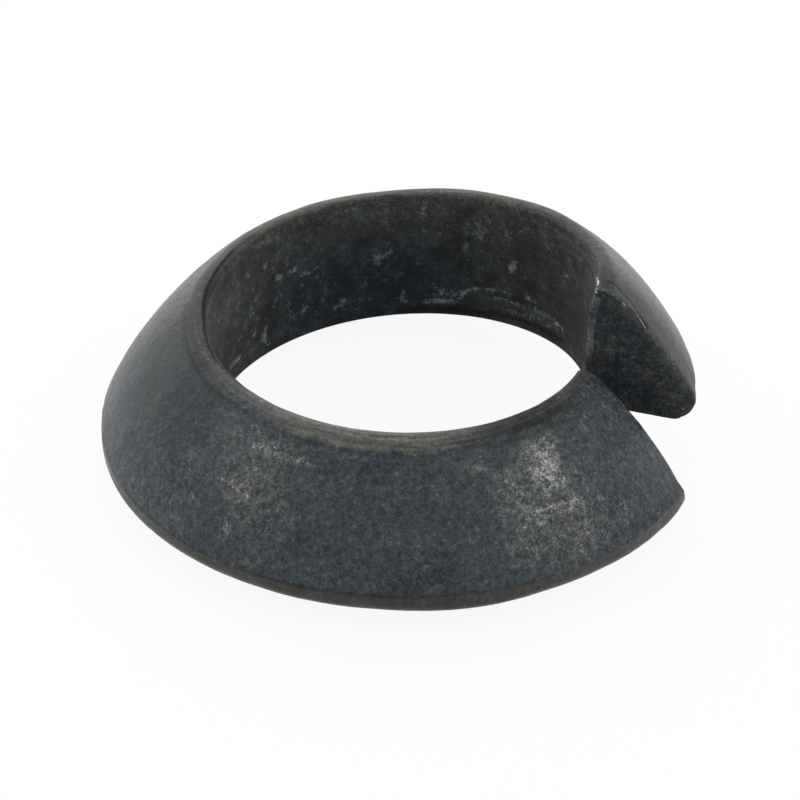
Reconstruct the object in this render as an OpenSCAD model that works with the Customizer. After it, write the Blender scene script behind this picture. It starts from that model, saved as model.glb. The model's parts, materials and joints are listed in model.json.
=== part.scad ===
// Split spring washer for a wheel nut with a spherical seat.
// One coiled turn of wedge-section bar, cut through once. The section has a flat base, a low
// upright land, a convex flank that is part of a sphere, and a narrow rounded crest at the bore.
// The turn is a left-hand helix, so the two ends stand one above the other at the slit, and the
// free upper end leans a little outwards. The bore runs along +Z, and the origin lies on its
// axis, level with the base of the lower end.

/* [Ring] */
// Diameter of the bore, a clearance fit over an M22 wheel stud
bore_d = 22.8; // [20:0.1:24]
// Outside diameter, measured over the land
outer_d = 36; // [34:0.5:44]
// How far the upper end stands above the lower end
end_rise = 4.3; // [0:0.1:7]
// How far the upper end's section leans outwards, in degrees
end_lean = 6; // [0:0.5:8]
// Length of turn over which that lean fades away, in degrees
lean_run = 120; // [40:5:180]

/* [Section] */
// Height of the bar from its base to its crest
section_h = 8.9; // [7:0.1:12]
// Height at which the spherical flank leaves the upright land
land_h = 1.4; // [1.2:0.1:3]
// Width of the crest, from the bore to where the flank would meet it
crest_w = 0.9; // [0.8:0.1:3]

/* [Edges] */
// Length of flank that is rounded off into the crest
shoulder_l = 0.6; // [0.3:0.1:3]
// Width of the rounding between the crest and the bore
rim_w = 0.4; // [0.2:0.1:0.7]
// Depth of the rounding between the crest and the bore
rim_h = 0.4; // [0.2:0.1:0.8]
// Width of the rounding between the base and the land
foot_w = 1.2; // [0.5:0.1:2.5]
// Height of the rounding between the base and the land
foot_h = 1; // [0.4:0.1:1.2]
// Width of the rounding between the bore and the base
heel_w = 0.6; // [0.2:0.1:1.5]
// Height of the rounding between the bore and the base
heel_h = 0.3; // [0.2:0.1:0.8]
// Depth of the flats worn into the base where the free washer stands on it
worn_h = 0.05; // [0.02:0.01:0.2]

/* [Slit] */
// Width of the slit where it opens into the bore
slit_w = 1.1; // [0.6:0.1:3]
// Azimuth of the middle of the slit at the bore, in degrees from +X
slit_azimuth = -14; // [-40:1:-10]
// How far the upper end's cut face turns from radial, in degrees
upper_skew = 1; // [-10:1:15]
// How far the lower end's cut face turns from radial, in degrees
lower_skew = 9; // [0:1:15]
// How far both cut faces lean from upright, in degrees
cut_lean = 5.5; // [-5:0.5:8]
// Rounding of the edges around the two cut faces
cut_edge = 0.2; // [0.1:0.05:0.4]
// Extra width rolled off the upper end's edge along the bore, measured at its crest
rolled_w = 0.3; // [0:0.05:0.5]

/* [Hidden] */
STEEL = "#34393d";

bore_r = bore_d / 2;
outer_r = outer_d / 2;
crest_r = bore_r + crest_w;
rim_end_r = bore_r + rim_w;
base_inner_r = bore_r + heel_w;
base_outer_r = outer_r - foot_w;

// The flank's sphere is centred on the bore's axis. It passes through the top of the land and
// through the crest's outer corner.
seat_z = (crest_r^2 + section_h^2 - outer_r^2 - land_h^2) / (2 * (section_h - land_h));
seat_r = norm([outer_r, land_h - seat_z]);
land_angle = atan2(land_h - seat_z, outer_r);
crest_angle = atan2(section_h - seat_z, crest_r);
shoulder_angle = shoulder_l / seat_r * 180 / PI;

// Half of the slit's width as an angle at the bore, and the length of the turn between the cuts
half_slit = asin(slit_w / 2 / bore_r);
turn_angle = 360 - 2 * half_slit;

// The coil is swept with this much steel inside the bore, which the bore's cylinder then clears
skin = 0.15;
// The free washer stands tilted, on the heel of its lower end and on the foot right across the
// bore. These are the ground's angles across the bore and along the base at that foot.
half_turn_rise = end_rise * 180 / turn_angle;
ground_across = atan(half_turn_rise / (base_inner_r + base_outer_r));
ground_along = atan(half_turn_rise / (PI * base_outer_r) * cos(ground_across));

// Steps along each rounded corner, along the flank, around the turn and around a cut's edge
corner_steps = 4;
flank_steps = 7;
turn_steps = 84;
edge_steps = 3;

// Points of an elliptical arc about a centre, between two angles
function arc(centre, radii, from, to, steps) =
    [for (i = [0:steps]) let (a = from + (to - from) * i / steps)
        centre + [radii.x * cos(a), radii.y * sin(a)]];

// Points of a bend that leaves a towards the corner b and arrives at c from it
function bend(a, b, c, steps) =
    [for (i = [0:steps]) let (t = i / steps)
        (1 - t)^2 * a + 2 * t * (1 - t) * b + t^2 * c];

// A list without its first point, which the stretch before it already holds
function rest(points) = [for (i = [1:len(points) - 1]) points[i]];

// Radii of the arc that rounds the bore's edge by w and h, and runs on through the skin
function bore_edge_radii(w, h) =
    [w + skin, h / (1 - sqrt(1 - (w / (w + skin))^2))];

rim_radii = bore_edge_radii(rim_w, rim_h);
heel_radii = bore_edge_radii(heel_w, heel_h);

foot = arc([base_outer_r, foot_h], [foot_w, foot_h], -90, 0, corner_steps);
flank = arc([0, seat_z], [seat_r, seat_r], land_angle, crest_angle - shoulder_angle, flank_steps);
shoulder = bend(flank[flank_steps], [crest_r, section_h], [rim_end_r, section_h], corner_steps);
rim = arc([rim_end_r, section_h - rim_radii.y], rim_radii, 90, 180, corner_steps);
heel = arc([base_inner_r, heel_radii.y], heel_radii, 180, 270, corner_steps);

// The bar's section as [radius, height], anticlockwise from the outer end of the flat base
section = concat(foot, flank, rest(shoulder), rest(rim), heel);
count = len(section);

// Unit vector at a point of the section that points into the steel
function inward(i) =
    let (along = section[(i + 1) % count] - section[(i + count - 1) % count])
        [-along.y, along.x] / norm(along);

// How far a point moves inwards at a cut face, where the bore's edge may be rolled further
function trim(i, rolled) =
    let (n = inward(i), bore_side = max(n.x, 0))
        cut_edge * n + [bore_side * (skin + rolled * section[i].y / section_h), 0];

// Azimuth at which a point of the section meets a cut face that starts at an azimuth on the
// bore, turns from radial by a skew, and has moved aside by a distance
function cut_azimuth(p, start, skew, aside) =
    start - skew
    + asin((bore_r * sin(skew) + aside - tan(cut_lean) * (p.y - section_h / 2)) / p.x);

// A point of the section, leant outwards about the top of the land as the upper end is
function leant(p, turn) =
    let (lean = end_lean * max(0, 1 - turn * turn_angle / lean_run)^2, arm = p - [outer_r, land_h])
        [outer_r + arm.x * cos(lean) + arm.y * sin(lean),
         land_h - arm.x * sin(lean) + arm.y * cos(lean)];

// One section of the coil. turn runs from 0 at the upper end to 1 at the lower end, back is the
// distance behind the cut faces, and inset is the share of the edge rounding that is cut away.
function ring_of_points(turn, back, inset, rolled) =
    [for (i = [0:count - 1])
        let (p = section[i] + inset * trim(i, rolled),
             upper = cut_azimuth(p, slit_azimuth + half_slit, upper_skew, back),
             lower = cut_azimuth(p, slit_azimuth - half_slit, lower_skew, -back) + 360,
             azimuth = (1 - turn) * upper + turn * lower,
             q = leant(p, turn))
            [q.x * cos(azimuth), q.x * sin(azimuth), q.y + end_rise * (1 - turn)]];

// The edge rounding is a quarter circle: step 0 lies on the cut face, the last one behind it
function edge_ring(turn, step, rolled) =
    let (a = 90 * step / edge_steps)
        ring_of_points(turn, cut_edge * (1 - cos(a)), 1 - sin(a), rolled);

// The turn from its upper cut face to its lower one, without its bore
module coil() {
    rings = concat(
        [for (k = [0:edge_steps - 1]) edge_ring(0, k, rolled_w)],
        [for (k = [0:turn_steps]) ring_of_points(k / turn_steps, cut_edge, 0, 0)],
        [for (k = [edge_steps - 1:-1:0]) edge_ring(1, k, 0)]);
    last = len(rings) - 1;
    sides = [for (j = [0:last - 1], i = [0:count - 1])
        let (a = j * count + i, b = j * count + (i + 1) % count)
            each [[a, a + count, b], [b, a + count, b + count]]];
    upper_cap = [for (i = [0:count - 1]) i];
    lower_cap = [for (i = [count - 1:-1:0]) last * count + i];
    polyhedron([for (ring = rings) each ring], concat(sides, [upper_cap, lower_cap]), convexity = 6);
}

// The ground under the free washer, raised by what is worn off the base
module ground() {
    size = 3 * outer_d;
    rotate(cut_azimuth([base_inner_r, 0], slit_azimuth - half_slit, lower_skew, -cut_edge))
        translate([base_inner_r, 0, worn_h])
            rotate([ground_along, ground_across, 0])
                translate([-size / 2, -size / 2, -size])
                    cube(size);
}

// The steel washer: the coil with a true cylindrical bore along its axis and a worn base
module washer() {
    total_h = section_h + end_rise;
    color(STEEL)
        difference() {
            coil();
            ground();
            translate([0, 0, -1])
                cylinder(r = bore_r, h = total_h + 2, $fn = 96);
        }
}

washer();
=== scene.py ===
import functools
import json
import math

import bpy
import numpy as np
from mathutils import Matrix, Vector


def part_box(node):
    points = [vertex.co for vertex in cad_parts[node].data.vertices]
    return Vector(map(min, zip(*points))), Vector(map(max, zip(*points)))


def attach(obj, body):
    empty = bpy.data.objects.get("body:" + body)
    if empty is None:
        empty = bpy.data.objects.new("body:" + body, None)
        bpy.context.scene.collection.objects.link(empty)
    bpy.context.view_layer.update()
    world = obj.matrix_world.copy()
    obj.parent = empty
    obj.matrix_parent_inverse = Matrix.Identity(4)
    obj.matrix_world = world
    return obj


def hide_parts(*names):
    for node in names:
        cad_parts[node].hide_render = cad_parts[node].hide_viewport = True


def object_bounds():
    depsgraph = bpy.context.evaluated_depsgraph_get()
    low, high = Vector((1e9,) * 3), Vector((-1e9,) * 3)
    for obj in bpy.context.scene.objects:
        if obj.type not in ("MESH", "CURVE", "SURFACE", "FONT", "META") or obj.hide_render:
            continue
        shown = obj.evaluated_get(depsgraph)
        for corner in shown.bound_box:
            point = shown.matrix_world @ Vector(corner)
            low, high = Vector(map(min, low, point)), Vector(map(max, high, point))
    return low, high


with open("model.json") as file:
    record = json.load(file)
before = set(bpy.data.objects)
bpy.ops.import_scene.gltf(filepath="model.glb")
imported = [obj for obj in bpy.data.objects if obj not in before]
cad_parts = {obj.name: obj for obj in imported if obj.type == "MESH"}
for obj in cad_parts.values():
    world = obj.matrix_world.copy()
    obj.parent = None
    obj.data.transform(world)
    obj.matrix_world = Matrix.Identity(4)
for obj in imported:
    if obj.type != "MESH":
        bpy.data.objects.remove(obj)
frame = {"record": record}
cad_lo, cad_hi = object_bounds()

# ---------------------------------------------------------------- sizes, in millimetres and radians
low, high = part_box("washer")
OUTER_R = 1000 * max(high.x, high.y, -low.x, -low.y)
BORE_R = next(m["dims"]["r_mm"] for m in frame["record"]["mounts"] if m["kind"] == "bore")
OVERALL_H = 1000 * high.z

# the bar's section
SECTION_H = 8.9
LAND_H = 1.4
CREST_W = 0.9
SHOULDER_L = 0.6
RIM_W = 0.4
RIM_H = 0.4
FOOT_W = 1.2
FOOT_H = 1.0
HEEL_W = 0.6
HEEL_H = 0.3

# the free end's rise and lean, the slit and its two cut faces, the ground's worn flats
END_RISE = 4.3
END_LEAN = math.radians(6)
LEAN_RUN = math.radians(120)
SLIT_W = 1.1
SLIT_AZ = math.radians(-14)
UPPER_SKEW = math.radians(1)
LOWER_SKEW = math.radians(9)
CUT_LEAN = math.radians(5.5)
CUT_EDGE = 0.2
SOFT_EDGE = 0.35
ROLLED_W = 0.3
WORN_H = 0.05

# steel pushed at the cuts: the brow and the torn face, the outer corner, the lower end's tip
BROW_H = 0.13
TORN_H = 0.035
FINE_TORN_H = 0.02
CORNER_H = 0.26
TIP_H = 0.16

# worked out from them
CREST_R = BORE_R + CREST_W
BASE_IN = BORE_R + HEEL_W
BASE_OUT = OUTER_R - FOOT_W
SEAT_Z = (CREST_R**2 + SECTION_H**2 - OUTER_R**2 - LAND_H**2) / (2 * (SECTION_H - LAND_H))
SEAT_R = math.hypot(OUTER_R, LAND_H - SEAT_Z)
HALF_SLIT = math.asin(SLIT_W / 2 / BORE_R)
TURN = 2 * math.pi - 2 * HALF_SLIT

# millimetres to a degree of azimuth, on the middle of the flank and on the bore's wall
FLANK_R = 15.0
FLANK_MM = math.radians(1) * FLANK_R
BORE_MM = math.radians(1) * BORE_R

# how fine the mesh is
TURN_STEPS = 480
EDGE_STEPS = 7
FACE_STEPS = 30
FOOT_POINTS = 11
LAND_STEPS = 3
FLANK_STEPS = 54
SHOULDER_STEPS = 10
RIM_STEPS = 7
WALL_STEPS = 46
HEEL_STEPS = 6
BASE_STEPS = 18


# ---------------------------------------------------------------- the bar's section
def arc(middle, half_w, half_h, start, end, steps):
    """Points on an ellipse round a middle, from one angle to another."""
    a = np.linspace(start, end, steps + 1)
    return np.stack([middle[0] + half_w * np.cos(a), middle[1] + half_h * np.sin(a)], 1)


def line(start, end, steps):
    """Points on a straight line."""
    share = np.linspace(0, 1, steps + 1)[:, None]
    return np.asarray(start) + share * (np.asarray(end) - np.asarray(start))


def make_section():
    """Section points [radius, height], anticlockwise, and s: the way round it from the land's top."""
    quarter = math.pi / 2
    crisp = 0.04
    foot = arc((BASE_OUT, FOOT_H), FOOT_W, FOOT_H, -quarter, 0, FOOT_POINTS - 1)
    upright = line((OUTER_R, FOOT_H), (OUTER_R, LAND_H - crisp), LAND_STEPS)
    land = np.vstack([upright, (OUTER_R, LAND_H)])
    flank_start = math.atan2(LAND_H - SEAT_Z, OUTER_R) + crisp / SEAT_R
    flank_end = math.atan2(SECTION_H - SEAT_Z, CREST_R) - SHOULDER_L / SEAT_R
    flank = arc((0, SEAT_Z), SEAT_R, SEAT_R, flank_start, flank_end, FLANK_STEPS)
    t = np.linspace(0, 1, SHOULDER_STEPS + 1)[:, None]
    peak = np.array([CREST_R, SECTION_H])
    top = np.array([BORE_R + RIM_W, SECTION_H])
    shoulder = (1 - t) ** 2 * flank[-1] + 2 * t * (1 - t) * peak + t**2 * top
    rim = arc((BORE_R + RIM_W, SECTION_H - RIM_H), RIM_W, RIM_H, quarter, 2 * quarter, RIM_STEPS)
    wall = line((BORE_R, SECTION_H - RIM_H), (BORE_R, HEEL_H), WALL_STEPS)
    heel = arc((BASE_IN, HEEL_H), HEEL_W, HEEL_H, 2 * quarter, 3 * quarter, HEEL_STEPS)
    base = line((BASE_IN, 0), (BASE_OUT, 0), BASE_STEPS)
    parts = [foot, land[1:], flank, shoulder[1:], rim[1:], wall[1:], heel[1:], base[1:-1]]
    points = np.concatenate(parts)
    s = np.concatenate([[0], np.cumsum(np.linalg.norm(np.diff(points, axis=0), axis=1))])
    land_top = len(foot) + len(land) - 2
    return points, s - s[land_top]


def inward_normals(points):
    """Normals of the section's closed outline, towards its inside."""
    along = np.roll(points, -1, 0) - np.roll(points, 1, 0)
    return np.stack([-along[:, 1], along[:, 0]], 1) / np.linalg.norm(along, axis=1)[:, None]


# S is -2.1 on the base's outer edge, 0 on the land's top, 8.9 at the flank's end, 10.0 on the crest,
# 10.8 to 19.0 on the bore's wall and 19.5 on the base's inner edge
SECTION, S = make_section()
COUNT = len(SECTION)
INWARD = inward_normals(SECTION)


def ramp(x, start, end):
    """0 up to the start and 1 from the end on, straight between them."""
    return np.clip((x - start) / (end - start), 0, 1)


# ---------------------------------------------------------------- the turn
def cut_azimuth(points, start, skew, aside):
    """Azimuths of section points on a cut face, which is skewed, leans, and may be moved aside."""
    reach = BORE_R * math.sin(skew) + aside - math.tan(CUT_LEAN) * (points[:, 1] - SECTION_H / 2)
    return start - skew + np.arcsin(reach / points[:, 0])


def place(points, turn, back):
    """Section points set at a share of the turn: x, y, z and azimuth, before the bore is bored."""
    upper = cut_azimuth(points, SLIT_AZ + HALF_SLIT, UPPER_SKEW, back)
    lower = cut_azimuth(points, SLIT_AZ - HALF_SLIT, LOWER_SKEW, -back) + 2 * math.pi
    az = (1 - turn) * upper + turn * lower
    lean = END_LEAN * max(0.0, 1 - turn * TURN / LEAN_RUN) ** 2
    arm = points - [OUTER_R, LAND_H]
    r = np.maximum(OUTER_R + arm[:, 0] * math.cos(lean) + arm[:, 1] * math.sin(lean), BORE_R)
    z = LAND_H - arm[:, 0] * math.sin(lean) + arm[:, 1] * math.cos(lean) + END_RISE * (1 - turn)
    return np.stack([r * np.cos(az), r * np.sin(az), z, az], 1)


def trimmed(inset, rolled, round_r):
    """The section drawn in by a share of a cut's edge radius, and rolled back along the bore."""
    bore_side = np.maximum(INWARD[:, 0], 0)
    roll = np.stack([bore_side * rolled * SECTION[:, 1] / SECTION_H, np.zeros(COUNT)], 1)
    return SECTION + inset * (round_r[:, None] * INWARD + roll)


def end_loops(turn, rolled, round_r):
    """Loops from the middle of a cut face out to its edge and round it, to the full section."""
    edge = trimmed(1, rolled, round_r)
    middle = np.array([0.55 * edge[:, 0].min() + 0.45 * edge[:, 0].max(), 0.33 * SECTION_H])
    ends = [place(middle + k * (edge - middle), turn, 0) for k in FROM_MIDDLE]
    for a in np.linspace(0, math.pi / 2, EDGE_STEPS + 1)[1:-1]:
        rounded = trimmed(1 - math.sin(a), rolled, round_r)
        ends.append(place(rounded, turn, round_r * (1 - math.cos(a))))
    return ends


def bar_loops():
    """All loops from the middle of the upper cut face to the middle of the lower one."""
    upper_round = CUT_EDGE + SOFT_EDGE * ramp(S, 0, 1.5) * ramp(S, 9.4, 7.9)
    lower_round = np.full(COUNT, CUT_EDGE)
    upper_end = end_loops(0.0, ROLLED_W, upper_round)
    lower_end = end_loops(1.0, 0.0, lower_round)
    turns = [place(SECTION, k / TURN_STEPS, upper_round) for k in range(TURN_STEPS + 1)]
    return np.stack(upper_end + turns + lower_end[::-1])


FROM_MIDDLE = np.linspace(0.02, 1, FACE_STEPS)
loops = bar_loops()
LOOPS = len(loops)
azimuth = loops[:, :, 3]
deg = np.degrees(azimuth)

# loops counted from the edge of the upper cut face, and from the middle of the lower one
step = np.arange(LOOPS)[:, None] - FACE_STEPS
from_lower = LOOPS - 1 - np.arange(LOOPS)[:, None]
OUTWARDS = np.stack([np.cos(azimuth), np.sin(azimuth), np.zeros_like(azimuth)], -1)
BACKWARDS = np.stack([np.sin(azimuth), -np.cos(azimuth), np.zeros_like(azimuth)], -1)


def ground():
    """The plane under the free washer: on the lower end's heel and the foot across the bore."""
    heel = np.array([[BASE_IN, 0.0]])
    heel_az = float(cut_azimuth(heel, SLIT_AZ - HALF_SLIT, LOWER_SKEW, -CUT_EDGE)[0])
    half_rise = END_RISE * math.pi / TURN
    across = math.atan(half_rise / (BASE_IN + BASE_OUT))
    along = math.atan(half_rise / (math.pi * BASE_OUT) * math.cos(across))
    tilt = Matrix.Rotation(across, 4, "Y") @ Matrix.Rotation(along, 4, "X")
    return Matrix.Rotation(heel_az, 4, "Z") @ Matrix.Translation((BASE_IN, 0, WORN_H)) @ tilt


GROUND = ground()
UP = GROUND.to_3x3() @ Vector((0, 0, 1))

# ---------------------------------------------------------------- where the bar is out of true
# the upper end's lip into the bore, in millimetres, and its outer corner's bulge and blunt foot, by s
LIP_S = (10.9, 12.0, 13.5, 18.5)
LIP_H = (0.10, 0.24, 0.20, 0.03)
CORNER_S = (-2.1, -1.2, -0.4, 0.3, 1.2, 3.2)
CORNER_SHARE = (0, -0.9, 0.1, 1, 1, 0)
# the foot is rounded less in three places: how much less, as a share, by azimuth in degrees
FULL_AZ = (175, 190, 206, 212, 218, 226, 240, 266, 274, 281, 289, 298, 312, 320, 326, 332, 339)
FULL_FOOT = (0, 0.20, 0.18, 0.12, 0.06, 0, 0, 0.05, 0.20, 0.31, 0.25, 0.05, 0, 0.17, 0.28, 0.30, 0.12)
# dips and swells: azimuth and s of the middle, half their size, millimetres outwards
UNEVEN = [
    (157, 6.5, 18.0, 4.5, -0.11), (14, 6.0, 10.0, 4.0, -0.10), (90, 9.9, 18.0, 1.6, -0.10),
    (43, 9.9, 14.0, 1.6, 0.06),
]


def patches(table):
    """Sum of soft oval patches over the surface."""
    total = np.zeros_like(deg)
    for az, s, half_az, half_s, strength in table:
        d = np.clip(1.25 - np.hypot((deg - az) / half_az, (S - s) / half_s), 0, 1)
        total += strength * d * d * (3 - 2 * d)
    return total


def value_noise(points, size, seed):
    """Smooth noise in -1..1 whose bumps are about `size` millimetres apart."""
    grid = np.random.RandomState(seed).uniform(-1, 1, (32, 32, 32))
    scaled = points / size + 100.0
    cell = np.floor(scaled).astype(int)
    f = scaled - cell
    f = f * f * (3 - 2 * f)
    total = 0
    for corner in np.ndindex(2, 2, 2):
        weight = np.prod(np.where(corner, f, 1 - f), axis=-1)
        x, y, z = np.moveaxis((cell + corner) % 32, -1, 0)
        total = total + weight * grid[x, y, z]
    return total


def normals(points):
    """Inward normals of the loops' surface."""
    around = np.roll(points, -1, 1) - np.roll(points, 1, 1)
    forwards = np.gradient(points, axis=0)
    n = np.cross(forwards, around)
    return -n / np.maximum(np.linalg.norm(n, axis=2, keepdims=True), 1e-9)


def torn_face(points):
    """The upper cut face: a brow of steel over its edge under the crest, and a torn surface."""
    at_edge = ramp(step, -4, -1) * ramp(step, EDGE_STEPS, EDGE_STEPS - 4)
    brow = at_edge * ramp(S, 5.6, 8.8) * ramp(S, 10.8, 10.2)
    brow = BROW_H * brow * (1 + 0.6 * value_noise(points, 0.7, 5))
    torn = TORN_H * value_noise(points, 0.9, 6) + FINE_TORN_H * value_noise(points, 0.35, 7)
    return points + BACKWARDS * (brow + torn * ramp(step, 0, -4))[..., None]


def end_push(points):
    """Share of the radius by which both ends are pushed outwards, less the lip into the bore."""
    lip = ramp(step, -3, 0) * ramp(deg, -7, -10) * ramp(S, 10.9, 11.6)
    lip = lip * np.interp(S, LIP_S, LIP_H) * (1 + 0.3 * value_noise(points, 0.8, 8))
    corner = CORNER_H * ramp(deg, -4, -9) * ramp(step, -10, -1) * np.interp(S, CORNER_S, CORNER_SHARE)
    tip = TIP_H * ramp(deg, 330, 337) * ramp(from_lower, 19, 28) * np.clip(1.6 - np.abs(S + 0.9), 0, 1)
    return (corner + tip) / OUTER_R - lip / BORE_R


def fuller_foot(points):
    """The foot drawn towards its sharp corner where it is rounded less."""
    inside_faces = np.ones(LOOPS)
    inside_faces[:FACE_STEPS] = FROM_MIDDLE
    inside_faces[-FACE_STEPS:] = FROM_MIDDLE[::-1]
    fullness = np.interp(deg, FULL_AZ, FULL_FOOT) * inside_faces[:, None]
    to_corner = np.zeros((COUNT, 2))
    to_corner[:FOOT_POINTS] = [OUTER_R, 0] - SECTION[:FOOT_POINTS]
    move = to_corner[:, :1] * OUTWARDS + to_corner[:, 1:] * [0, 0, 1]
    return points + fullness[..., None] * move


def forged(points):
    """The dips and swells, and a fine unevenness that only goes inwards and is weak in the bore."""
    points = points - normals(points) * patches(UNEVEN)[..., None]
    depth = 0.034 * value_noise(points, 2.6, 1) + 0.012 * value_noise(points, 0.9, 2)
    depth = depth + 0.005 * value_noise(points, 0.4, 3)
    depth = depth * (1 - 0.75 * ramp(S, 10.2, 10.6) * ramp(S, 19.6, 19.3))
    return points + normals(points) * np.abs(depth)[..., None]


def bored(points, push):
    """What lies inside the bore's cylinder is cleared, and the ends are pushed."""
    inside_r = np.hypot(points[..., 0], points[..., 1])
    scale = np.maximum(1, BORE_R / inside_r) + push
    return points * np.stack([scale, scale, np.ones_like(scale)], -1)


def set_down(points):
    """Nothing lies under the ground, which leaves the two worn flats."""
    under = (points - np.array(GROUND.translation)) @ np.array(UP)
    return points - np.minimum(under, 0)[..., None] * np.array(UP)


torn_bar = torn_face(loops[:, :, :3])
washer_skin = set_down(bored(forged(fuller_foot(torn_bar)), end_push(torn_bar)))
washer_skin = np.clip(washer_skin, 1000 * np.array(cad_lo), 1000 * np.array(cad_hi))

# ---------------------------------------------------------------- marks on the blackened steel, with painted shade along creases and edges
# Patches have the azimuth and s of their middle, half their size in both, and a strength.
# Strokes have the azimuth and s of both ends, half their width in millimetres, and a strength.
# scuffs on the flank
SCUFFS = [
    (306, 6.6, 5.5, 2.0, 0.75), (307, 6.2, 3.0, 1.5, 0.50), (311, 7.8, 3.0, 0.7, 0.35),
    (301, 3.8, 5.0, 0.7, 0.46), (308, 3.6, 4.0, 0.8, 0.40), (317, 3.3, 0.8, 0.4, 0.60),
    (303, 3.8, 15.0, 4.2, 0.38), (296, 5.6, 6.0, 1.6, 0.25), (288.5, 7.3, 4.5, 0.7, 0.45),
    (321, 1.7, 1.6, 1.0, 0.35), (309, 1.6, 4.0, 1.0, 0.25), (295, 2.0, 5.0, 1.2, 0.25),
    (236, 7.4, 6.0, 0.7, 0.30), (231, 8.1, 3.0, 0.4, 0.32), (245, 7.3, 5.0, 0.4, 0.28),
    (232, 4.4, 5.5, 0.8, 0.27), (235, 5.7, 3.0, 1.0, 0.21), (237, 5.0, 13.0, 4.2, 0.25),
    (226, 7.2, 3.0, 1.0, 0.20), (239, 0.6, 1.5, 0.4, 0.35), (233, 2.1, 1.5, 0.5, 0.30),
    (197, 3.4, 1.5, 0.6, 0.25), (268, 6.0, 3.0, 1.6, 0.12), (272, 1.2, 4.0, 0.8, 0.10),
    (24, 5.2, 7.0, 2.6, 0.28), (31, 6.4, 3.0, 0.9, 0.30), (76, 4.6, 10.0, 3.0, 0.26),
    (70, 6.8, 3.5, 0.8, 0.35), (84, 3.4, 4.0, 0.6, 0.35), (118, 5.8, 8.0, 2.4, 0.24),
    (113, 3.6, 3.0, 0.6, 0.30), (152, 4.0, 9.0, 2.8, 0.22), (146, 5.6, 3.0, 0.8, 0.25),
]
# bright scratches on the flank
SCRATCHES = [
    (310, 8.0, 303, 6.2, 0.10, 0.7), (302.5, 6.2, 306, 5.0, 0.08, 0.8), (306, 5.0, 303, 4.7, 0.06, 0.6),
    (299, 4.0, 304, 4.0, 0.09, 0.9), (296, 3.3, 303, 3.3, 0.07, 0.8), (294.5, 6.4, 300, 5.0, 0.03, 0.5),
    (286.5, 7.3, 289, 7.4, 0.06, 0.7), (240, 7.5, 249, 7.2, 0.04, 0.6), (232, 7.1, 240, 7.8, 0.09, 0.6),
    (229, 8.3, 233, 8.0, 0.06, 0.7), (228, 4.6, 236, 4.3, 0.07, 0.6), (233, 5.1, 235, 5.1, 0.06, 0.6),
    (234, 6.0, 236, 6.1, 0.05, 0.6), (233, 3.7, 234, 3.8, 0.06, 0.6), (224, 6.5, 228, 8.0, 0.03, 0.4),
    (320, 0.8, 322, 2.5, 0.04, 0.4), (307, 3.3, 311, 3.9, 0.06, 0.6),
]
# painted shade along creases and edges on the shoulder, the rim, the land's edge, the upper cut and the
# heel, and a few dark streaks on the shoulder
CREASE_SHADE_AND_STREAKS = [
    (287, 8.7, 300, 8.5, 0.13, 0.45), (300, 8.5, 306, 8.4, 0.13, 0.6),
    (308, 8.45, 318, 8.35, 0.14, 0.5), (319, 8.2, 329, 8.3, 0.14, 0.45),
    (303, 9.2, 313, 9.1, 0.12, 0.4), (315, 9.15, 326, 9.15, 0.14, 0.45),
    (-7.5, 9.7, -8.5, 8.6, 0.12, 0.6), (-8.5, 8.6, -9.5, 7.4, 0.12, 0.6),
    (-9.5, 7.4, -11.3, 6.2, 0.10, 0.5), (240, 0.02, 268, 0.02, 0.06, 0.5),
    (268, 0.02, 300, 0.02, 0.05, 0.4), (208, 0.02, 240, 0.02, 0.04, 0.35),
    (172, 8.9, 190, 8.9, 0.15, 0.35), (190, 8.9, 206, 8.75, 0.14, 0.5), (206, 8.7, 226, 8.8, 0.14, 0.5),
    (232, 8.65, 246, 8.55, 0.12, 0.4), (246, 8.5, 262, 8.5, 0.11, 0.5),
    (262, 8.5, 276, 8.55, 0.12, 0.4), (236, 9.35, 252, 9.4, 0.09, 0.35),
    (250, 9.15, 272, 9.1, 0.09, 0.35), (262, 9.65, 284, 9.7, 0.09, 0.35),
    (136, 10.0, 146, 9.95, 0.11, 0.6), (146, 9.95, 165, 10.1, 0.12, 1.0),
    (165, 10.1, 183, 10.3, 0.13, 1.0), (183, 10.3, 200, 10.1, 0.12, 1.0),
    (200, 10.1, 217, 10.2, 0.11, 0.8), (196, 9.2, 214, 9.3, 0.12, 0.3),
    (284, 9.4, 300, 9.5, 0.10, 0.40), (296, 8.9, 312, 8.9, 0.10, 0.45),
    (286, 9.0, 298, 9.1, 0.09, 0.35), (300, 10.0, 322, 9.9, 0.10, 0.5), (306, 9.6, 321, 9.7, 0.10, 0.5),
    (294, 9.9, 312, 10.25, 0.08, 0.4), (320, 0.25, 330, 0.40, 0.30, 0.30),
    (330, 0.40, 339, 0.50, 0.30, 0.35), (40, 8.7, 58, 8.6, 0.12, 0.4),
    (84, 8.75, 104, 8.65, 0.13, 0.45), (120, 8.7, 141, 8.8, 0.12, 0.4), (60, 18.5, 90, 18.6, 0.20, 0.5),
    (28, 18.3, 60, 18.4, 0.16, 0.5), (36, 16.9, 58, 16.9, 0.12, 0.3),
]
# bare bright steel on the burr where the upper end's rim was sheared
BURR = [
    (3.0, 10.1, -4.0, 10.3, 0.04, 0.35), (-4.0, 10.45, -7.5, 10.4, 0.06, 0.8),
    (-7.5, 10.3, -9.5, 10.35, 0.10, 1.0), (-11.5, 10.4, -12.6, 10.5, 0.12, 1.0),
    (-12.3, 11.0, -12.35, 11.2, 0.06, 0.6), (-10.7, 7.95, -11.4, 6.1, 0.025, 0.65),
]
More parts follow.
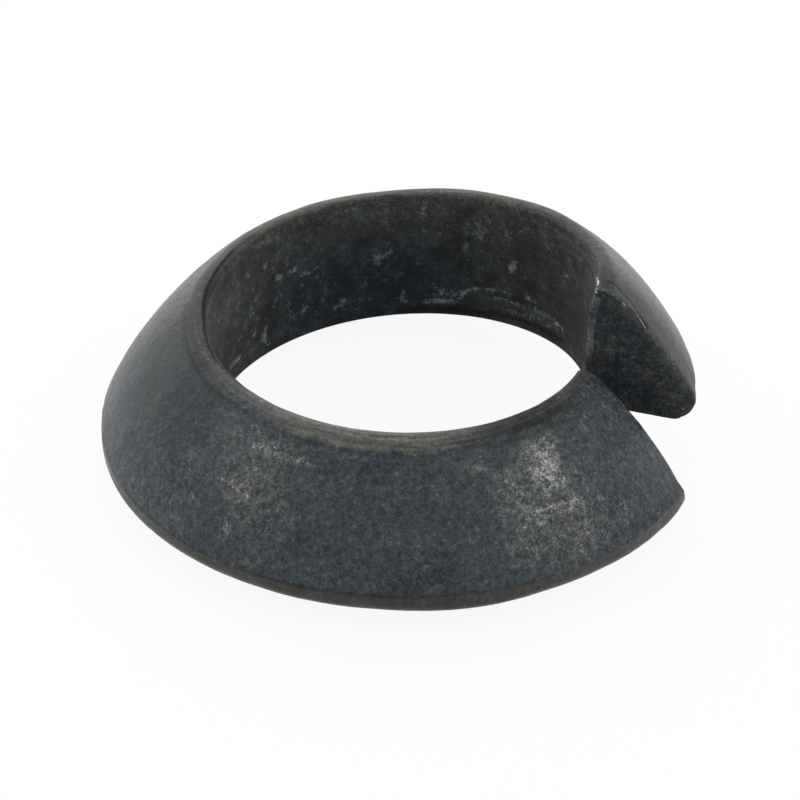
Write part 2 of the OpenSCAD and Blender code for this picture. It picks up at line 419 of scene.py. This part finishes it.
# darker spots on the flank
STAINS = [
    (260, 6.5, 1.0, 0.9, 0.5), (278, 1.0, 3.5, 1.1, 0.35), (279, 2.5, 1.2, 0.5, 0.4),
    (330, 5.5, 5.0, 1.5, 0.25), (267, 7.6, 15.0, 1.1, 0.27), (332, 1.8, 5.0, 1.4, 0.22),
    (248, 2.5, 6.0, 1.5, 0.15), (48, 2.5, 4.0, 1.2, 0.30), (97, 7.0, 5.0, 1.2, 0.25),
    (133, 2.0, 4.0, 1.0, 0.30), (175, 6.5, 5.0, 1.5, 0.20), (272, 1.4, 8.0, 2.2, 0.28),
    (277, 7.2, 4.0, 1.8, 0.28), (217, 7.4, 7.0, 2.4, 0.24),
]
# scuffs on the bore's wall
BORE_SCUFFS = [
    (42, 17.5, 17.0, 0.75, 0.30), (107.5, 17.3, 1.8, 0.5, 0.40), (124.5, 16.3, 1.2, 0.7, 0.40),
    (134.5, 17.4, 1.4, 0.8, 0.45), (22, 18.4, 3.5, 0.5, 0.30), (75, 17.4, 8.0, 0.9, 0.25),
    (62, 12.4, 6.0, 1.2, 0.25), (93, 14.3, 4.0, 0.7, 0.25), (51, 14.6, 2.0, 0.6, 0.25),
    (125, 13.6, 7.0, 0.9, 0.20), (140, 14.9, 4.0, 0.8, 0.25), (128, 17.6, 14.0, 0.8, 0.20),
    (132, 10.9, 6.0, 0.4, 0.50), (103, 10.8, 5.0, 0.3, 0.35), (36, 11.4, 14.0, 0.8, 0.25),
]
# pale strokes along the edge of the upper cut face: scratches, and a painted highlight along the brow's
# ridge under the crest
EDGE_STROKES = [
    (-12.6, 10.2, -12.7, 9.0, 0.09, 0.45), (-12.7, 9.0, -12.0, 8.2, 0.09, 0.50),
    (-12.0, 8.2, -11.0, 7.9, 0.09, 0.45), (-11.4, 6.1, -11.0, 5.0, 0.08, 0.40),
    (-11.0, 5.0, -10.2, 3.0, 0.10, 0.35), (-8.0, 1.0, -9.0, 0.1, 0.14, 0.45),
]
# scratches on the bore's wall
BORE_STROKES = [
    (26.5, 17.6, 33, 17.15, 0.17, 0.8), (33, 17.15, 46, 17.2, 0.15, 0.7),
    (46, 17.2, 58, 17.3, 0.12, 0.6), (30, 17.75, 46, 17.85, 0.14, 0.45),
    (46, 17.85, 56, 17.95, 0.12, 0.5), (42, 16.6, 45, 16.55, 0.17, 0.8),
    (52, 16.75, 62, 16.65, 0.12, 0.7), (62, 16.65, 67, 17.0, 0.13, 0.9),
    (67, 17.0, 70, 17.7, 0.13, 0.8), (70, 17.8, 75, 18.0, 0.14, 0.9), (75, 18.0, 80.5, 18.0, 0.16, 1.0),
    (68, 17.2, 72, 17.5, 0.12, 0.6), (72, 17.5, 75, 17.35, 0.12, 0.7),
    (75, 17.35, 78.5, 16.95, 0.13, 0.8), (86, 18.1, 88, 17.8, 0.12, 0.6),
    (88, 17.8, 87.5, 17.2, 0.15, 0.8), (97, 17.5, 101, 17.45, 0.11, 0.4),
    (103, 17.5, 106.5, 17.4, 0.13, 0.5), (106.5, 17.4, 109, 17.65, 0.14, 0.8),
    (105.5, 17.2, 107.5, 17.15, 0.14, 0.7), (123.3, 17.2, 125, 16.2, 0.18, 0.5),
    (133.5, 18.3, 136, 17.6, 0.18, 0.6), (136, 17.6, 134.3, 17.0, 0.20, 0.7),
    (113.5, 14.25, 117.5, 14.5, 0.12, 0.6), (117.5, 14.5, 119.8, 14.45, 0.15, 0.9),
    (115, 14.3, 115, 13.4, 0.12, 0.4), (123, 13.9, 124.3, 13.95, 0.20, 1.0),
    (128, 13.9, 129.2, 13.85, 0.20, 1.0), (124.5, 13.4, 124.8, 12.7, 0.16, 0.5),
    (133.5, 12.75, 133.8, 12.55, 0.20, 0.9), (141.8, 12.45, 142, 12.3, 0.20, 0.7),
    (137.5, 14.75, 138, 14.5, 0.20, 0.6), (139.5, 15.3, 141, 15.2, 0.25, 0.4),
    (147.5, 17.65, 153.5, 17.65, 0.16, 1.0), (153, 14.3, 156, 13.6, 0.12, 0.5),
    (50.2, 14.4, 51.6, 14.9, 0.20, 1.0), (50.6, 14.8, 51.4, 14.5, 0.20, 0.9),
    (26.3, 13.5, 27.3, 13.5, 0.18, 0.6), (90, 14.6, 91, 14.3, 0.13, 0.8),
    (91, 14.3, 92.3, 14.45, 0.15, 1.0), (94.3, 14.2, 94.8, 15.0, 0.13, 0.8),
    (95.5, 14.4, 96.3, 15.0, 0.11, 0.6), (91.5, 13.6, 93, 13.3, 0.12, 0.5),
    (67, 12.5, 67.3, 14.2, 0.12, 0.5), (80, 10.7, 81, 11.8, 0.14, 0.7),
    (80.5, 11.8, 80.3, 13.0, 0.12, 0.5), (59.5, 11.8, 60.5, 11.5, 0.18, 0.7),
    (61, 11.9, 66, 12.3, 0.12, 0.5), (66, 12.3, 69.5, 12.0, 0.11, 0.4),
    (69.5, 12.0, 75, 12.9, 0.11, 0.4), (60.5, 12.5, 62.5, 13.1, 0.13, 0.5),
    (62.5, 13.1, 65, 12.9, 0.13, 0.5), (46, 11.3, 48, 12.0, 0.12, 0.4),
    (48, 12.0, 51.5, 12.5, 0.12, 0.5), (51.5, 12.5, 57, 12.5, 0.13, 0.5),
    (35, 12.5, 36, 12.9, 0.13, 0.5), (68, 15.3, 70, 15.6, 0.16, 0.4), (150, 12.0, 154, 13.5, 0.12, 0.5),
    (146, 13.0, 148, 14.2, 0.12, 0.5), (143, 15.5, 147, 16.4, 0.13, 0.5),
    (138, 16.0, 140, 17.2, 0.14, 0.5), (129, 15.2, 131, 16.0, 0.13, 0.4),
    (157, 15.0, 160, 14.0, 0.12, 0.5), (118, 16.8, 121, 17.3, 0.14, 0.5),
    (112, 16.0, 113, 16.8, 0.13, 0.5), (99, 16.2, 100, 17.0, 0.12, 0.4),
]


def strokes(table, mm_per_degree):
    """The strongest of soft straight strokes over the surface."""
    total = np.zeros_like(deg)
    for az0, s0, az1, s1, half_w, strength in table:
        x, y = (deg - az0) * mm_per_degree, S - s0
        dx, dy = (az1 - az0) * mm_per_degree, s1 - s0
        k = np.clip((x * dx + y * dy) / (dx * dx + dy * dy), 0, 1)
        off = np.hypot(x - k * dx, y - k * dy)
        total = np.maximum(total, strength * np.clip(1.6 - off / half_w, 0, 1))
    return total


MARKS_AND_CREASE_SHADE = {
    "wear": patches(SCUFFS + BORE_SCUFFS),
    "stain": patches(STAINS),
    "crease": strokes(CREASE_SHADE_AND_STREAKS, FLANK_MM),
    "stroke": np.maximum(strokes(BORE_STROKES, BORE_MM), strokes(EDGE_STROKES, FLANK_MM)),
}

# ---------------------------------------------------------------- the mesh
OUTER_SLOT = 0
CUT_SLOT = 1
BORE_SLOT = 2
WALL_FROM = 10.9
WALL_TO = 19.3
UV_SPAN = 30.0
LAST_STEP = 0.27


def wall_quads():
    """Corner numbers of the quads between neighbouring loops."""
    loop_no, point_no = np.meshgrid(np.arange(LOOPS - 1), np.arange(COUNT), indexing="ij")
    next_no = (point_no + 1) % COUNT
    here, there = loop_no * COUNT, (loop_no + 1) * COUNT
    corners = [here + point_no, there + point_no, there + next_no, here + next_no]
    return np.stack(corners, -1).reshape(-1, 4)


def face_slots():
    """Material slots: the cut faces, then the bore's wall, and the outer steel everywhere else."""
    on_cut = np.ones(LOOPS - 1, bool)
    on_cut[FACE_STEPS - 1:LOOPS - FACE_STEPS] = False
    on_wall = np.where((S > WALL_FROM) & (S < WALL_TO), BORE_SLOT, OUTER_SLOT)
    slots = np.where(on_cut[:, None], CUT_SLOT, on_wall)
    return slots.ravel().tolist() + [CUT_SLOT, CUT_SLOT]


def unroll(mesh, quads, caps):
    """UV map: x is the azimuth in turns, y is s over UV_SPAN, one last step more where it closes."""
    u = (azimuth / (2 * math.pi)).ravel()
    v = np.broadcast_to(S / UV_SPAN, (LOOPS, COUNT)).ravel()
    quad_v = v[quads]
    closing = quads[:, 0] % COUNT == COUNT - 1
    quad_v[closing, 2:] = quad_v[closing, :1] + LAST_STEP / UV_SPAN
    spots = [np.stack([u[quads], quad_v], -1).reshape(-1, 2)]
    spots += [np.stack([u[cap], v[cap]], -1) for cap in caps]
    mesh.uv_layers.new(name="steel").data.foreach_set("uv", np.concatenate(spots).ravel())


def washer_mesh():
    """The closed skin with its slots, its UV map, its surface marks and its painted shade along creases.
    """
    quads = wall_quads()
    last_loop = (LOOPS - 1) * COUNT
    caps = [list(range(COUNT)), list(range(last_loop, last_loop + COUNT))[::-1]]
    mesh = bpy.data.meshes.new("washer_body")
    mesh.from_pydata((washer_skin.reshape(-1, 3) / 1000).tolist(), [], quads.tolist() + caps)
    mesh.polygons.foreach_set("use_smooth", [True] * len(mesh.polygons))
    mesh.polygons.foreach_set("material_index", face_slots())
    unroll(mesh, quads, caps)
    for name, values in MARKS_AND_CREASE_SHADE.items():
        mesh.attributes.new(name, "FLOAT", "POINT").data.foreach_set("value", values.ravel())
    mesh.update()
    return mesh


# ---------------------------------------------------------------- material helpers
class Nodes:
    """A short way to write a shader's node tree."""

    def __init__(self, name):
        self.mat = bpy.data.materials.new(name)
        self.mat.use_nodes = True
        self.tree = self.mat.node_tree
        self.bsdf = self.tree.nodes["Principled BSDF"]

    def put(self, socket, value):
        if isinstance(value, bpy.types.NodeSocket):
            self.tree.links.new(value, socket)
        else:
            socket.default_value = value

    def node(self, kind, inputs=(), **settings):
        nd = self.tree.nodes.new(kind)
        for name, value in settings.items():
            setattr(nd, name, value)
        for name, value in dict(inputs).items():
            self.put(nd.inputs[name], value)
        return nd

    def math(self, operation, *values):
        return self.node("ShaderNodeMath", enumerate(values), operation=operation).outputs[0]

    def add(self, first, *others):
        for other in others:
            first = self.math("ADD", first, other)
        return first

    def mul(self, first, *others):
        for other in others:
            first = self.math("MULTIPLY", first, other)
        return first

    def sub(self, a, b):
        return self.math("SUBTRACT", a, b)

    def least(self, a, b):
        return self.math("MINIMUM", a, b)

    def most(self, a, b):
        return self.math("MAXIMUM", a, b)

    def exp(self, x):
        return self.math("EXPONENT", x)

    def about(self, noise):
        """A noise in 0..1 set about zero."""
        return self.sub(noise, 0.5)

    def span(self, x, start, end, low=0.0, high=1.0):
        """A smooth step from low at the start to high at the end."""
        values = {0: x, 1: start, 2: end, 3: low, 4: high}
        nd = self.node("ShaderNodeMapRange", values, interpolation_type="SMOOTHSTEP", clamp=True)
        return nd.outputs[0]

    def band(self, x, rise, full, still_full, gone):
        """Rises from 0 to 1 and falls back to 0."""
        return self.mul(self.span(x, rise, full), self.span(x, gone, still_full))

    def mix(self, share, a, b):
        nd = self.node("ShaderNodeMix", {0: share}, data_type="RGBA")
        for socket, colour in ((6, a), (7, b)):
            self.put(nd.inputs[socket], (*colour, 1) if isinstance(colour, tuple) else colour)
        return nd.outputs[2]

    def tint(self, colour, factor):
        nd = self.node("ShaderNodeVectorMath", {0: colour, "Scale": factor}, operation="SCALE")
        return nd.outputs[0]

    def join(self, x, y):
        return self.node("ShaderNodeCombineXYZ", {0: x, 1: y}).outputs[0]

    def noise(self, place_at, scale, detail, rough, distortion=0.0):
        values = {"Vector": place_at, "Scale": scale, "Detail": detail, "Roughness": rough,
                  "Distortion": distortion}
        return self.node("ShaderNodeTexNoise", values).outputs["Fac"]

    def fibre(self, scale, edge, core):
        """Fine curling fibres, where a noise crosses its middle value."""
        crossing = self.about(self.noise(self.mm, scale, 2, 0.6, distortion=0.7))
        return self.span(self.math("ABSOLUTE", crossing), edge, core)

    def attribute(self, name):
        return self.node("ShaderNodeAttribute", attribute_name=name).outputs["Fac"]

    def vector(self, operation, a, b=(0, 0, 0)):
        nd = self.node("ShaderNodeVectorMath", {0: a, 1: b}, operation=operation)
        return nd.outputs["Value" if operation == "LENGTH" else "Vector"]

    def lines(self, place_at, mm_per_degree, table):
        """The strongest of straight strokes, as in the tables of marks."""
        lines = []
        for az0, s0, az1, s1, half_w, strength in table:
            x0 = az0 * mm_per_degree
            x1 = az1 * mm_per_degree
            half_l = math.hypot(x1 - x0, s1 - s0) / 2
            turned = {"Vector": place_at, "Location": ((x0 + x1) / 2, (s0 + s1) / 2, 0),
                      "Rotation": (0, 0, math.atan2(s1 - s0, x1 - x0))}
            local = self.node("ShaderNodeMapping", turned, vector_type="TEXTURE").outputs[0]
            beyond = self.vector("SUBTRACT", self.vector("ABSOLUTE", local), (half_l, 0, 0))
            off = self.vector("LENGTH", self.vector("MAXIMUM", beyond))
            lines.append(self.span(off, 1.6 * half_w, 0.2 * half_w, 0.0, strength))
        return functools.reduce(self.most, lines)

    def bump(self, strength, distance, height):
        values = {"Strength": strength, "Distance": distance, "Height": height}
        self.put(self.bsdf.inputs["Normal"], self.node("ShaderNodeBump", values).outputs[0])


class SteelNodes(Nodes):
    """A steel's node tree, with millimetres in space, azimuth in degrees and s in millimetres."""

    def __init__(self, name):
        super().__init__(name)
        place_at = self.node("ShaderNodeTexCoord").outputs["Object"]
        millimetres = {"Vector": place_at, "Scale": (1000, 1000, 1000)}
        self.mm = self.node("ShaderNodeMapping", millimetres).outputs[0]
        unrolled = self.node("ShaderNodeUVMap", uv_map="steel").outputs[0]
        uv = self.node("ShaderNodeSeparateXYZ", {0: unrolled})
        self.az = self.mul(uv.outputs[0], 360.0)
        self.s = self.mul(uv.outputs[1], UV_SPAN)


class BlackenedNodes(SteelNodes):
    """The marks, the painted shade along creases, the noises and the places that the blackened steel's
    parts share.
    """

    def __init__(self, name):
        super().__init__(name)
        self.wear = self.attribute("wear")
        self.stain = self.attribute("stain")
        self.crease = self.attribute("crease")
        self.middle = self.noise(self.mm, 0.7, 4, 0.6)
        self.grain = self.noise(self.mm, 2.4, 4, 1.0, distortion=0.25)
        self.on_flank = self.join(self.mul(self.az, FLANK_MM), self.s)
        self.in_bore = self.mul(self.span(self.s, 10.7, 11.1), self.span(self.s, 20.0, 19.4))
        self.free_end = self.band(self.az, -40, -20, 40, 70)
        self.in_front = self.band(self.az, 192, 252, 276, 300)


# ---------------------------------------------------------------- blackened steel
COOL_FLANK = (0.0440, 0.0565, 0.0640)
WARM_FLANK = (0.0560, 0.0612, 0.0586)
LAND = (0.0580, 0.0580, 0.0530)
GREY_BORE = (0.0540, 0.0562, 0.0538)
BLUE_BORE = (0.0385, 0.0540, 0.0670)
# the crest's three tones are partly its own and partly painted light: brighter in front, darker at the
# sides and back
SIDE_CREST = (0.0254, 0.0286, 0.0254)
FRONT_CREST = (0.1110, 0.1155, 0.1030)
BACK_CREST = (0.0540, 0.0550, 0.0460)
COOL_RUBBED = (0.210, 0.290, 0.320)
WARM_RUBBED = (0.300, 0.312, 0.296)
BORE_RUBBED = (0.205, 0.234, 0.246)
BARE_STEEL = (0.62, 0.61, 0.58)


def flank_colour(m):
    """Bluish where the blackening is whole, neutral where it is rubbed and towards the back, and
    darkened by painted shade on the left side and by both cuts.
    """
    cloud = m.noise(m.mm, 0.20, 2, 0.5)
    back_left = m.band(m.az, 100, 125, 162, 188)
    tone = m.add(m.mul(m.span(cloud, 0.4, 0.7), 0.25), m.mul(m.span(m.middle, 0.48, 0.66), 0.35),
                 m.mul(m.span(m.wear, 0.05, 0.4), 0.75), m.free_end, m.mul(back_left, 0.8))
    colour = m.mix(m.least(tone, 1.0), COOL_FLANK, WARM_FLANK)
    # painted shade: darker on the left side, more so higher up, and by both cuts, except across the
    # middle of the flank by the upper cut
    left = m.mul(m.band(m.az, 150, 185, 208, 225), m.span(m.s, 0, 7.5, 0.14, 0.60))
    painted_upper_cut_shade = m.mul(m.band(m.az, -40, -13, -7, 2), 0.27)
    by_upper_cut = m.band(m.az, -40, -13, 4, 25)
    by_upper_cut = m.mul(by_upper_cut, m.add(0.10, m.mul(m.band(m.s, 1, 3, 5, 7), -0.12)))
    painted_lower_cut_shade = m.mul(m.band(m.az, 300, 325, 345, 350), 0.19)
    darker = m.add(left, painted_upper_cut_shade, by_upper_cut, painted_lower_cut_shade)
    return m.tint(colour, m.sub(m.add(1.05, m.mul(m.wear, 0.45)), darker))


def bore_colour(m):
    """Bluer low down at the back; painted shade darkens it towards the heel, low down at the sides and
    high up on the right, and painted light brightens it on the left below the rim and in a strip by the
    upper end.
    """
    blue = m.mul(m.band(m.az, 50, 90, 115, 140), m.span(m.s, 12.0, 15.0), 0.7)
    blotches = m.mul(m.span(m.middle, 0.4, 0.6), 0.2)
    colour = m.mix(m.least(m.add(blue, blotches), 1.0), GREY_BORE, BLUE_BORE)
    # painted shade: the wall darkens towards the heel and low down at the sides
    painted_heel_shade = m.span(m.s, 11.0, 16.5, 1.10, 0.63)
    sides = m.sub(1.0, m.band(m.az, 20, 60, 125, 160))
    painted_side_shade = m.mul(sides, m.span(m.s, 12.0, 16.0), 0.24)
    # painted light on the left below the rim, painted shade high up on the right
    left = m.mul(m.span(m.az, 128, 152), m.span(m.s, 11.5, 13.5), 0.62)
    right_rim = m.mul(m.band(m.az, 8, 16, 44, 56), m.span(m.s, 15.5, 12.5), -0.24)
    shade = m.mul(painted_heel_shade, m.sub(1.0, painted_side_shade), m.add(1.0, left, right_rim))
    # painted highlight: a lighter strip on the wall by the upper end's rolled edge
    end_middle = m.mul(m.band(m.s, 11.5, 13.5, 14.5, 16.2), 1.3)
    painted_end_highlight = m.add(0.9, end_middle, m.span(m.s, 12.5, 11.0, 0.0, 0.7))
    shade = m.add(m.mul(shade, m.span(m.az, -7, 4)), m.mul(m.span(m.az, 4, -7), painted_end_highlight))
    return m.tint(colour, shade)


def crest_share(m):
    """Where the crest's own tone lies, with a ragged edge that comes lower in front."""
    front = m.mul(m.band(m.az, 225, 243, 285, 302), -0.5)
    right = m.mul(m.band(m.az, 296, 304, 322, 334), -0.4)
    ragged = m.add(m.s, m.mul(m.about(m.middle), 1.6))
    above = m.sub(ragged, m.add(9.15, front, right))
    return m.mul(m.span(above, -0.35, 0.40), m.span(m.s, 11.0, 10.4))


def crest_colour(m):
    """Pale and brownish in front and dark at the sides, with fine lines along the turn: partly the
    crest's own tone and partly painted light, raised in front where the crest turns away from the front
    lamps and lowered at the sides, at the back and in two places on the right.
    """
    colour = m.mix(m.in_front, SIDE_CREST, FRONT_CREST)
    colour = m.mix(m.band(m.az, 10, 70, 132, 165), colour, BACK_CREST)
    # painted shade: the crest darker in two places on the right
    darker = m.add(m.band(m.az, 5, 15, 35, 48), m.mul(m.band(m.az, 292, 300, 320, 328), 1.2))
    along = m.noise(m.join(m.mul(m.az, 0.045), m.mul(m.s, 4.6)), 1.0, 4, 0.8)
    rubbed_lines = m.most(m.add(m.mul(along, 3.4), -0.7), 0.2)
    return m.tint(colour, m.mul(m.sub(1.0, m.mul(darker, 0.25)), rubbed_lines))


def mottling(m, crest):
    """The exponent of the grain's brightness: fine grain, blotches and wisps along the turn."""
    behind_cut = m.mul(m.free_end, m.span(m.az, -9, 1), m.span(m.s, 10.9, 10.5))
    gain = m.add(5.4, m.mul(m.wear, 3.2), m.mul(m.in_bore, -0.8), m.mul(behind_cut, 3.6),
                 m.mul(crest, m.in_front, -2.2), m.mul(m.band(m.az, 305, 318, 345, 350), 2.4),
                 m.mul(m.band(m.az, 150, 175, 215, 230), 2.0))
    gain = m.mul(gain, m.span(m.s, 0.03, -0.03, 1.0, 0.45), m.span(m.az, -12, -7, 0.8, 1.0))
    wisps = m.noise(m.join(m.mul(m.az, 0.16), m.mul(m.s, 2.4)), 1.0, 3, 0.7)
    wisps = m.mul(m.about(wisps), m.add(0.5, m.mul(m.free_end, 0.9)))
    blotches = m.mul(m.about(m.middle), m.add(0.8, m.mul(m.in_bore, 1.4)))
    return m.add(m.mul(m.about(m.grain), gain), blotches, wisps)


def rubbed_share(m):
    """Pale fibres, dots, smudges and cuts, thicker where the wear is greater."""
    smudges = m.span(m.add(m.grain, m.mul(m.wear, 0.08)), 0.48, 0.66)
    fibre = m.fibre(2.6, 0.045, 0.006)
    clump = m.span(m.add(m.noise(m.mm, 1.5, 3, 0.65), m.mul(m.wear, 0.26)), 0.52, 0.72)
    by_land = m.mul(m.span(m.s, 0.2, 0.5), m.span(m.s, 2.6, 1.0), m.band(m.az, 170, 200, 300, 330))
    dots = m.add(m.noise(m.mm, 6.5, 1, 0.5), m.mul(m.wear, 0.14), m.mul(by_land, 0.05))
    scratch = m.most(m.lines(m.on_flank, FLANK_MM, SCRATCHES), m.attribute("stroke"))
    broken = m.span(m.add(scratch, m.mul(m.about(m.grain), 6.0), m.mul(fibre, 0.5)), 0.45, 1.0)
    return m.add(m.mul(m.wear, smudges, 0.16),
                 m.mul(fibre, clump, m.add(0.10, m.mul(m.wear, 0.75))),
                 m.mul(m.span(dots, 0.66, 0.82), m.add(0.18, m.mul(m.wear, 0.40))),
                 m.mul(scratch, broken, 0.80))


def rubbed_colour(m, mottle):
    """Bluish where the wear is light and neutral where it is heavy."""
    colour = m.mix(m.span(m.wear, 0.03, 0.25), COOL_RUBBED, WARM_RUBBED)
    colour = m.mix(m.in_bore, colour, BORE_RUBBED)
    return m.tint(colour, m.exp(m.mul(mottle, 0.75)))


def roughness(m, rubbed, crest):
    """Smoother where it is rubbed, duller on the crest, in the bore, by the upper cut and in creases."""
    by_upper_cut = m.mul(m.band(m.az, -40, -13, -5, 6), 0.3)
    rough = m.add(m.span(rubbed, 0.0, 0.6, 0.32, 0.28), m.mul(crest, 0.2), m.mul(m.in_bore, 0.35),
                  by_upper_cut, m.mul(m.about(m.grain), 2.0), m.mul(m.crease, 0.4))
    return m.least(m.most(rough, 0.2), 0.9)


def blackened_steel(name, specular, sheen):
    """Blackening with its grain and its painted light and shade, and over it the rubbed steel and the
    bare burr.
    """
    m = BlackenedNodes(name)
    crest = crest_share(m)
    mottle = mottling(m, crest)
    rubbed = rubbed_share(m)
    colour = m.mix(m.span(m.s, 0.03, -0.03), flank_colour(m), LAND)
    colour = m.mix(m.in_bore, colour, bore_colour(m))
    colour = m.mix(crest, colour, crest_colour(m))
    # darker at stains, and by painted shade along creases and edges
    whole = m.mul(m.sub(1.0, m.mul(m.stain, 0.6)), m.sub(1.0, m.mul(m.crease, 0.85)))
    colour = m.tint(colour, m.mul(m.exp(mottle), whole))
    colour = m.mix(m.least(rubbed, 0.85), colour, rubbed_colour(m, mottle))
    bare = m.add(m.lines(m.on_flank, FLANK_MM, BURR), m.mul(m.about(m.grain), 3.0))
    colour = m.mix(m.span(bare, 0.4, 0.8), colour, BARE_STEEL)
    m.put(m.bsdf.inputs["Base Color"], colour)
    m.put(m.bsdf.inputs["Roughness"], roughness(m, rubbed, crest))
    m.bsdf.inputs["Specular IOR Level"].default_value = specular
    m.bsdf.inputs["Sheen Weight"].default_value = sheen
    m.bsdf.inputs["Sheen Roughness"].default_value = 0.3
    m.bump(0.8, 0.00011, m.add(m.grain, m.mul(m.middle, 1.2)))
    return m.mat


DARK_CUT = (0.0225, 0.0290, 0.0345)
PALE_CUT = (0.0295, 0.0322, 0.0330)
CUT_SPECKS = (0.30, 0.30, 0.30)


def cut_face_steel():
    """The torn cut faces: darker than the rest, with pale specks, and fibres in their upper part."""
    m = SteelNodes("cut_face_steel")
    middle = m.noise(m.mm, 0.9, 4, 0.6)
    grain = m.noise(m.mm, 2.0, 4, 1.0)
    colour = m.mix(m.span(middle, 0.4, 0.62), DARK_CUT, PALE_CUT)
    colour = m.tint(colour, m.exp(m.mul(m.about(grain), 8.0)))
    specks = m.mul(m.span(m.noise(m.mm, 5.0, 1, 0.5), 0.70, 0.82), 0.18)
    fibres = m.mul(m.fibre(2.2, 0.04, 0.005), m.span(middle, 0.45, 0.60))
    fibres = m.mul(fibres, m.add(0.05, m.mul(m.span(m.s, 3.0, 8.0), 0.12)))
    colour = m.mix(m.add(specks, fibres), colour, CUT_SPECKS)
    m.put(m.bsdf.inputs["Base Color"], colour)
    m.bsdf.inputs["Roughness"].default_value = 0.45
    m.bsdf.inputs["Specular IOR Level"].default_value = 0.20
    m.bump(0.6, 0.00008, m.add(grain, m.mul(middle, 1.5)))
    return m.mat


# ---------------------------------------------------------------- the washer
def add_washer():
    mesh = washer_mesh()
    mesh.materials.append(blackened_steel("blackened_steel", 0.12, 0.12))
    mesh.materials.append(cut_face_steel())
    mesh.materials.append(blackened_steel("bore_steel", 0.07, 0.0))
    washer = bpy.data.objects.new("washer_steel", mesh)
    bpy.context.collection.objects.link(washer)
    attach(washer, "root")
    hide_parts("washer")


# ---------------------------------------------------------------- floor, world, lights, camera
FLOOR_SIZE = 3.0
FLOOR_WHITE = 0.92
WORLD_STRENGTH = 0.33
SOFTBOX_SIZE = 0.3
SOFTBOX_DISTANCE = 0.5
# softboxes: azimuth and elevation in degrees, watts
SOFTBOXES = {
    "overhead": (0, 85, 0.25),
    "back": (180, 35, 1.25),
    "left": (-80, 35, 0.65),
    "right": (80, 35, 0.85),
    "left_back": (-135, 25, 1.0),
    "right_back": (135, 25, 0.7),
}


def plain_floor():
    """A white floor in the ground's tilt, nearly white to the camera but for the washer's shadow."""
    bpy.ops.mesh.primitive_plane_add(size=FLOOR_SIZE)
    floor = bpy.context.object
    floor.name = "floor"
    place_at = GROUND.copy()
    place_at.translation = (GROUND.translation - UP * WORN_H) / 1000
    floor.matrix_world = place_at
    m = Nodes("floor_white")
    m.bsdf.inputs["Base Color"].default_value = (0.9, 0.9, 0.9, 1)
    m.bsdf.inputs["Roughness"].default_value = 0.9
    m.bsdf.inputs["Specular IOR Level"].default_value = 0.0
    rays = m.node("ShaderNodeLightPath").outputs
    seen = m.most(rays["Is Camera Ray"], rays["Is Glossy Ray"])
    white = m.node("ShaderNodeEmission", {"Color": (1, 1, 1, 1), "Strength": 1.0}).outputs[0]
    shaders = {0: m.mul(seen, FLOOR_WHITE), 1: m.bsdf.outputs[0], 2: white}
    blend = m.node("ShaderNodeMixShader", shaders).outputs[0]
    m.put(m.tree.nodes["Material Output"].inputs[0], blend)
    floor.data.materials.append(m.mat)


def studio_world():
    """White to the camera and in reflections, and a weaker light elsewhere."""
    world = bpy.data.worlds.new("studio")
    bpy.context.scene.world = world
    world.use_nodes = True
    tree = world.node_tree
    rays = tree.nodes.new("ShaderNodeLightPath")
    seen = tree.nodes.new("ShaderNodeMath")
    seen.operation = "MAXIMUM"
    tree.links.new(rays.outputs["Is Camera Ray"], seen.inputs[0])
    tree.links.new(rays.outputs["Is Glossy Ray"], seen.inputs[1])
    level = tree.nodes.new("ShaderNodeMapRange")
    level.inputs[3].default_value = WORLD_STRENGTH
    level.inputs[4].default_value = 1.0
    tree.links.new(seen.outputs[0], level.inputs[0])
    tree.links.new(level.outputs[0], tree.nodes["Background"].inputs["Strength"])
    tree.nodes["Background"].inputs["Color"].default_value = (1, 1, 1, 1)


def softbox(name, azimuth_deg, elevation_deg, watts):
    """A square area light that looks at the washer from a direction, azimuth 0 behind the camera."""
    a, e = math.radians(azimuth_deg), math.radians(elevation_deg)
    way = Vector((math.sin(a) * math.cos(e), -math.cos(a) * math.cos(e), math.sin(e)))
    data = bpy.data.lights.new(name, "AREA")
    data.shape = "SQUARE"
    data.size = SOFTBOX_SIZE
    data.energy = watts
    light = bpy.data.objects.new(name, data)
    light.location = Vector((0, 0, OVERALL_H / 2 / 1000)) + way * SOFTBOX_DISTANCE
    light.rotation_mode = "QUATERNION"
    light.rotation_quaternion = (-way).to_track_quat("-Z", "Y")
    bpy.context.collection.objects.link(light)


def studio_camera():
    """A long lens half a metre away, 33 degrees above the bore's level, and slightly rolled."""
    distance = 0.486
    target = Vector((0, 0, 0.00665))
    elevation = math.radians(32.762)
    roll = math.radians(-1.389)
    nod = math.radians(-0.2185)
    swing = math.radians(-0.0209)
    back = Vector((0, -math.cos(elevation), math.sin(elevation)))
    turn = (-back).to_track_quat("-Z", "Y").to_matrix().to_4x4() @ Matrix.Rotation(roll, 4, "Z")
    turn = turn @ Matrix.Rotation(nod, 4, "X") @ Matrix.Rotation(swing, 4, "Y")
    data = bpy.data.cameras.new("camera")
    data.lens = 362.35
    data.sensor_width = 36
    data.clip_start = 0.01
    data.clip_end = 10
    camera = bpy.data.objects.new("camera", data)
    camera.matrix_world = Matrix.Translation(target + back * distance) @ turn
    bpy.context.collection.objects.link(camera)
    bpy.context.scene.camera = camera


add_washer()
plain_floor()
studio_world()
for lamp, (lamp_azimuth, lamp_elevation, lamp_watts) in SOFTBOXES.items():
    softbox(lamp, lamp_azimuth, lamp_elevation, lamp_watts)
studio_camera()
bpy.context.scene.view_settings.view_transform = "Standard"
